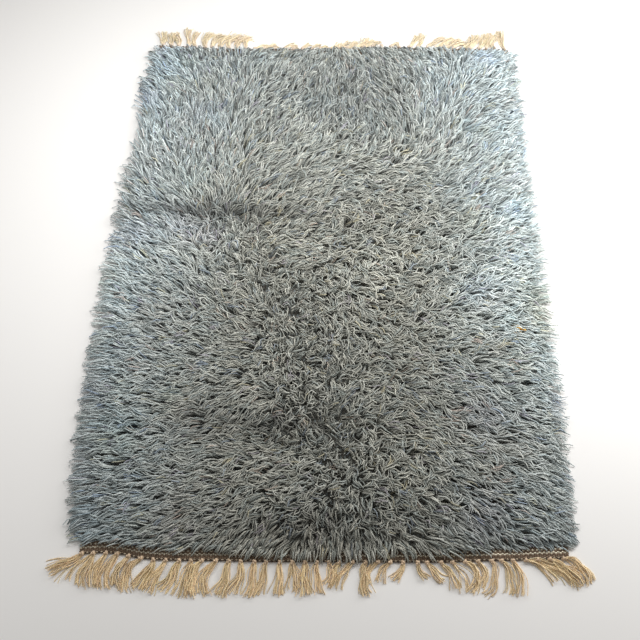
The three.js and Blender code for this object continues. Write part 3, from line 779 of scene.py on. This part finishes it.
# Painted shade: darker towards the near end, and a little darker at the far end too
colour *= np.interp(ends[:, 1], [-0.75, 0.1, 0.6], [0.82, 0.95, 0.85])[:, None]
for _ in range(patch_count):
    side = draw.choice([-1, 1], p=[0.6, 0.4])
    patch = (side * draw.uniform(0.3, 0.56), draw.uniform(-0.74, 0.74))
    radius = draw.uniform(0.015, 0.04)
    inside = np.exp(-((ends - patch) ** 2).sum(axis=1) / (2 * radius ** 2))
    tint = patch_tints[draw.integers(len(patch_tints))]
    colour *= 1 + (tint - 1) * inside[:, None]
# The first table paints light and shade; the second shifts the dyes bluer or less blue
for row in painted_light_and_shade + dyes:
    away = (ends - (row["x"], row["y"])) / (0.5 * row["wide"], 0.5 * row["deep"])
    inside = 1 / (1 + (away ** 2).sum(axis=1) ** 2)
    blue = row.get("blue", 0)
    change = np.array([-blue / 2, 0, blue / 2]) + row.get("tone", 1) - 1
    colour *= 1 + inside[:, None] * change
orange = np.hypot(*(ends - orange_spot).T) < orange_radius
colour[orange] = (1.0, 0.56, 0.09)
long[orange] *= 0.75
colour = np.column_stack([colour, np.ones(count)])

pile_wool = pile_material()
grow_yarn = yarn_tree()
order = np.argsort(ends[:, 1], kind="stable")
for number, part in enumerate(np.array_split(order, pile_parts)):
    roots = np.column_stack([ends[part], np.full(len(part), root_height)])
    attributes = {
        "lay": lay[part], "turn": turn[part], "lift": lift[part], "droop": droop[part],
        "long": long[part], "curl": wave[part], "phase": phase[part],
        "yarn_colour": colour[part],
    }
    settings = {
        "Segments": yarn_segments, "Sides": yarn_sides, "Crowding": 0.75, "Thickness": yarn_thick,
        "Waves": 0.9, "Floor": 0.8 * mm, "Foot": 1.55, "Tip": 0.8,
        "Cells": math.ceil(math.sqrt(len(part))), "Seed": number, "Material": pile_wool,
    }
    mesh = grown(f"pile_{number + 1}", roots, attributes, grow_yarn, settings)
    piece = finished(mesh.name, mesh, None)
    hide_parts("shag_pile")


# Fringes: the linen warp ends, gathered in bunches and tied in an overhand knot against the
# heading. Below the knots they lie loose on the floor as tassels.
strands_per_tassel = 20
linen_thick = 2.25 * mm
root_spread = 3.5 * mm  # to each side of the knot's middle
root_heights = (4.0, 6.0)
knot_gap = 0.5 * mm
knot_height = 6.0 * mm
coil_radius = 2.5 * mm
knot_tint = (0.97, 0.93, 1.05)
lightest_linen = 0.97
# Each tassel from left to right: its place in mm, the direction that it starts in and how far it
# turns on its way in degrees, its length in mm, how full it is, and how far its strands fan out to
# each side in degrees
tassel_columns = ("x", "lay", "turn", "long", "full", "fan")
tassels = {
    "near": [
        (-517, 211, 0, 78, 1.2, 13),
        (-493, 222, 42, 76, 1.2, 24),
        (-466, 224, 64, 78, 1.1, 8),
        (-442, 218, 70, 80, 1.1, 8),
        (-417, 216, 74, 70, 1.2, 9),
        (-390, 205, 80, 82, 1.2, 7),
        (-364, 250, -18, 70, 1.2, 9),
        (-337, 236, 14, 76, 1.1, 6),
        (-309, 254, -16, 72, 1.1, 7),
        (-284, 262, 5, 80, 1.4, 16),
        (-260, 225, 62, 76, 1.2, 9),
        (-230, 215, 68, 80, 1.2, 9),
        (-203, 264, -14, 76, 1.1, 7),
        (-178, 274, -36, 72, 1.0, 8),
        (-149, 272, -12, 76, 1.1, 9),
        (-124, 268, -24, 72, 1.0, 6),
        (-94, 268, 4, 70, 1.0, 6),
        (-68, 272, 6, 60, 1.0, 14),
        (-41, 269, 4, 70, 1.1, 11),
        (-16, 266, 28, 66, 0.8, 6),
        (10, 300, -60, 48, 0.4, 8),
        (33, 241, 14, 60, 1.0, 10),
        (62, 218, 32, 64, 0.8, 8),
        (89, 248, 44, 72, 1.1, 3),
        (116, 200, 74, 58, 0.6, 8),
        (142, 208, 60, 56, 0.6, 14),
        (168, 262, -50, 46, 0.7, 8),
        (199, 268, 68, 42, 0.5, 10),
        (219, 300, 18, 54, 0.8, 8),
        (249, 318, -30, 68, 0.5, 5),
        (273, 325, -52, 70, 0.4, 14),
        (300, 346, -130, 80, 0.8, 5),
        (328, 325, -104, 64, 0.6, 7),
        (357, 302, -86, 84, 0.6, 6),
        (378, 318, -78, 78, 0.6, 6),
        (403, 306, -62, 78, 0.6, 6),
        (430, 354, -46, 84, 1.0, 9),
        (456, 344, -32, 88, 1.2, 9),
        (482, 343, -38, 88, 1.2, 8),
        (511, 6, -92, 86, 1.0, 9),
    ],
    "far": [
        (-512, 96, 0, 64, 1.0, 8),
        (-487, 118, -44, 58, 1.0, 12),
        (-466, 98, 30, 62, 1.0, 8),
        (-435, 104, -14, 74, 1.0, 4),
        (-415, 120, -52, 68, 0.8, 4),
        (-384, 114, -66, 72, 1.2, 7),
        (-366, 104, -84, 76, 1.2, 8),
        (-339, 108, -96, 68, 1.1, 8),
        (-313, 104, -84, 76, 1.2, 8),
        (-290, 104, -100, 74, 1.1, 8),
        (-264, 102, -30, 58, 0.6, 4),
        (-238, 42, -30, 42, 0.8, 8),
        (-210, 42, -30, 42, 0.8, 8),
        (-180, 60, -50, 18, 0.6, 8),
        (-150, 52, -50, 46, 0.9, 8),
        (-122, 20, 0, 16, 0.6, 8),
        (-95, 62, -40, 34, 0.8, 8),
        (-68, 58, -40, 34, 0.8, 8),
        (-42, 50, -40, 28, 0.7, 8),
        (-15, 30, 10, 48, 0.8, 6),
        (13, 38, 6, 52, 0.8, 6),
        (39, 52, -4, 48, 0.8, 5),
        (63, 44, 6, 60, 0.9, 7),
        (90, 50, 0, 52, 0.9, 8),
        (117, 62, -20, 36, 0.8, 8),
        (144, 90, 0, 12, 0.5, 8),
        (171, 72, -60, 28, 0.8, 8),
        (197, 112, 0, 24, 0.7, 8),
        (225, 50, 26, 62, 0.8, 2),
        (252, 66, 16, 70, 0.8, 2),
        (282, 60, -46, 76, 0.9, 6),
        (305, 48, -34, 78, 1.0, 7),
        (331, 42, -26, 74, 1.0, 7),
        (357, 55, -50, 46, 0.7, 8),
        (382, 42, 14, 68, 1.2, 6),
        (408, 48, 25, 70, 1.2, 7),
        (434, 52, 28, 72, 1.2, 7),
        (459, 62, 18, 76, 1.2, 7),
        (486, 120, -92, 74, 0.8, 5),
        (514, 97, -6, 80, 1.0, 6),
    ],
}
linen_colours = {"near": np.array([1.0, 0.765, 0.45]), "far": np.array([1.0, 0.84, 0.58])}


def linen_material():
    twists = 22.0
    material, tree, shader = new_material("fringe_linen", 0.5, 0.35)
    shader.inputs["Specular IOR Level"].default_value = 0.5
    colour = add(tree, "ShaderNodeAttribute", attribute_name="yarn_colour").outputs["Color"]
    along = add(tree, "ShaderNodeAttribute", attribute_name="along").outputs["Fac"]
    around = add(tree, "ShaderNodeAttribute", attribute_name="around").outputs["Fac"]
    ply = wave_along(tree, calc(tree, "MULTIPLY_ADD", along, twists, around), 1.0)
    # Painted light and shade: lighter on the twist's ridges, darker in its grooves
    shade = calc(tree, "MULTIPLY_ADD", ply, 0.25, 0.87)
    scaled = add(tree, "ShaderNodeVectorMath", {0: colour, "Scale": shade}, operation="SCALE")
    tree.links.new(scaled.outputs[0], shader.inputs["Base Color"])
    add_bump(tree, shader, ply, 0.3 * mm)
    return material


def knot_tree():
    """The bunch's own turn round itself: a short thick coil."""
    inputs = {
        "Turns": "Float", "Radius": "Float", "Height": "Float", "Bunch": "Float",
        "Material": "Material",
    }
    tree, given = new_tree("knot", inputs)
    feeds = {
        "Resolution": 14, "Rotations": given["Turns"], "Start Radius": given["Radius"],
        "End Radius": given["Radius"], "Height": given["Height"],
    }
    coil = out(add(tree, "GeometryNodeCurveSpiral", feeds))
    feeds = {"Resolution": 6, "Radius": given["Bunch"]}
    ring = out(add(tree, "GeometryNodeCurvePrimitiveCircle", feeds))
    feeds = {"Curve": coil, "Profile Curve": ring, "Fill Caps": True}
    wrap = out(add(tree, "GeometryNodeCurveToMesh", feeds))
    smooth = out(add(tree, "GeometryNodeSetShadeSmooth", {0: wrap}))
    lean = add(tree, "GeometryNodeInputNamedAttribute", {"Name": "lay"}, data_type="FLOAT")
    turned = out(add(tree, "ShaderNodeCombineXYZ", {1: math.pi / 2, 2: out(lean)}))
    feeds = {"Points": given["Geometry"], "Instance": smooth, "Rotation": turned}
    tied = out(add(tree, "GeometryNodeInstanceOnPoints", feeds))
    return end_tree(tree, tied, given["Material"])


fringe_linen = linen_material()
tie_knot = knot_tree()
for side, node, inward in ends_of_rug:
    draw = np.random.default_rng(40 + inward)
    read = dict(zip(tassel_columns, np.array(tassels[side]).T))
    x = read["x"] * mm
    tassel_count = len(x)
    edge = np.interp(x, *edge_of(node, inward)) - sag(x, side)
    knot_y = edge + inward * knot_gap
    tassel_turn = np.radians(read["turn"]) + draw.normal(0, 0.05, tassel_count)
    tassel_lay = np.radians(read["lay"]) + draw.normal(0, 0.03, tassel_count)
    tassel_long = read["long"] * mm * draw.uniform(0.97, 1.03, tassel_count)
    tassel_phase = draw.uniform(0, 2 * math.pi, tassel_count)
    strands_of = np.round(strands_per_tassel * read["full"]).astype(int)
    tassel = np.repeat(np.arange(tassel_count), strands_of)
    first_strand = np.cumsum(strands_of) - strands_of
    strand = 2 * (np.arange(len(tassel)) - first_strand[tassel] + 0.5) / strands_of[tassel] - 1
    count = len(tassel)
    rooted = np.column_stack([
        x[tassel] + strand * root_spread,
        knot_y[tassel],
        draw.uniform(*root_heights, count) * mm,
    ])
    linen_colour = linen_colours[side]
    tassel_tone = np.interp(x, [-0.1, 0.5], [1, 0.92]) * draw.uniform(0.93, 1.0, tassel_count)
    tassel_tone = tassel_tone[:, None]
    strand_colour = (1 - 0.3 * draw.uniform(0, 1, (count, 1)) ** 2) * linen_colour
    strand_colour *= 1 + draw.normal(0, 0.02, (count, 3))
    strand_colour = np.minimum(strand_colour * tassel_tone[tassel], lightest_linen)
    spread = np.radians(read["fan"])
    attributes = {
        "lay": tassel_lay[tassel] + inward * strand * spread[tassel] + draw.normal(0, 0.06, count),
        "turn": tassel_turn[tassel] + draw.normal(0, 0.15, count),
        "lift": draw.uniform(-0.35, 0.1, count),
        "droop": draw.uniform(-0.15, 0.1, count),
        "long": tassel_long[tassel] * draw.uniform(0.9, 1.03, count),
        "curl": draw.uniform(0.05, 0.36, count),
        "phase": tassel_phase[tassel] + draw.normal(0, 0.7, count),
        "yarn_colour": np.column_stack([strand_colour, np.ones(count)]),
    }
    settings = {
        "Segments": 7, "Sides": 3, "Crowding": 1.0, "Thickness": linen_thick, "Waves": 1.4,
        "Floor": 0.3 * mm, "Foot": 1.05, "Tip": 0.9,
        "Cells": math.ceil(math.sqrt(count)), "Seed": 90 + inward, "Material": fringe_linen,
    }
    mesh = grown(f"fringe_{side}_strands", rooted, attributes, grow_yarn, settings)
    strands_piece = finished(mesh.name, mesh, None)
    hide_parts(f"fringe_{side}")
    knot_colour = draw.uniform(0.56, 0.76, (tassel_count, 1)) * linen_colour * knot_tint * tassel_tone
    attributes = {
        "lay": tassel_lay,
        "yarn_colour": np.column_stack([knot_colour, np.ones(tassel_count)]),
    }
    settings = {
        "Turns": 1.5, "Radius": coil_radius, "Height": 7 * mm, "Bunch": 2.6 * mm,
        "Material": fringe_linen,
    }
    start = np.column_stack([
        x - coil_radius * np.cos(tassel_lay),
        knot_y - coil_radius * np.sin(tassel_lay),
        np.full(tassel_count, knot_height),
    ])
    mesh = grown(f"fringe_{side}_knots", start, attributes, tie_knot, settings)
    on_band[side] += [strands_piece, finished(mesh.name, mesh, None)]


# Floor: plain, pale and a little rough. It reaches well past the view and isn't part of the rug.
floor_reach = 9
floor_corners = [(x * floor_reach, y * floor_reach, 0) for x, y in ((-1, -1), (1, -1), (1, 1), (-1, 1))]
floor_mesh = bpy.data.meshes.new("floor")
floor_mesh.from_pydata(floor_corners, [], [(0, 1, 2, 3)])
floor = bpy.data.objects.new("floor", floor_mesh)
bpy.context.scene.collection.objects.link(floor)
floor_paint, _, floor_shader = new_material("floor_paint", 0.7, 0.0)
floor_shader.inputs["Base Color"].default_value = (0.80, 0.785, 0.765, 1)
floor_mesh.materials.append(floor_paint)


# Light: soft daylight from above the far half and from the right side, a weak fill over the
# near left corner, and a pale room all round
def area_light(name, place, wide, deep, energy, aim=None):
    data = bpy.data.lights.new(name, "AREA")
    data.shape = "RECTANGLE"
    data.size = wide
    data.size_y = deep
    data.energy = energy
    light = bpy.data.objects.new(name, data)
    light.location = place
    if aim:
        light.rotation_euler = (Vector(aim) - light.location).to_track_quat("-Z", "Y").to_euler()
    bpy.context.scene.collection.objects.link(light)


area_light("window", (0.35, 0.4, 1.1), 2.6, 0.7, 27)
area_light("side_window", (1.9, 0.7, 0.9), 2.0, 1.2, 36, aim=(0.4, 0.1, 0))
area_light("fill", (-1.35, -0.7, 0.9), 0.8, 0.8, 2.4)
room = bpy.data.worlds.new("room")
room.use_nodes = True
room_light = room.node_tree.nodes["Background"].inputs
room_light["Color"].default_value = (1.0, 0.99, 0.97, 1)
room_light["Strength"].default_value = 0.295
bpy.context.scene.world = room
bpy.context.scene.view_settings.view_transform = "Standard"
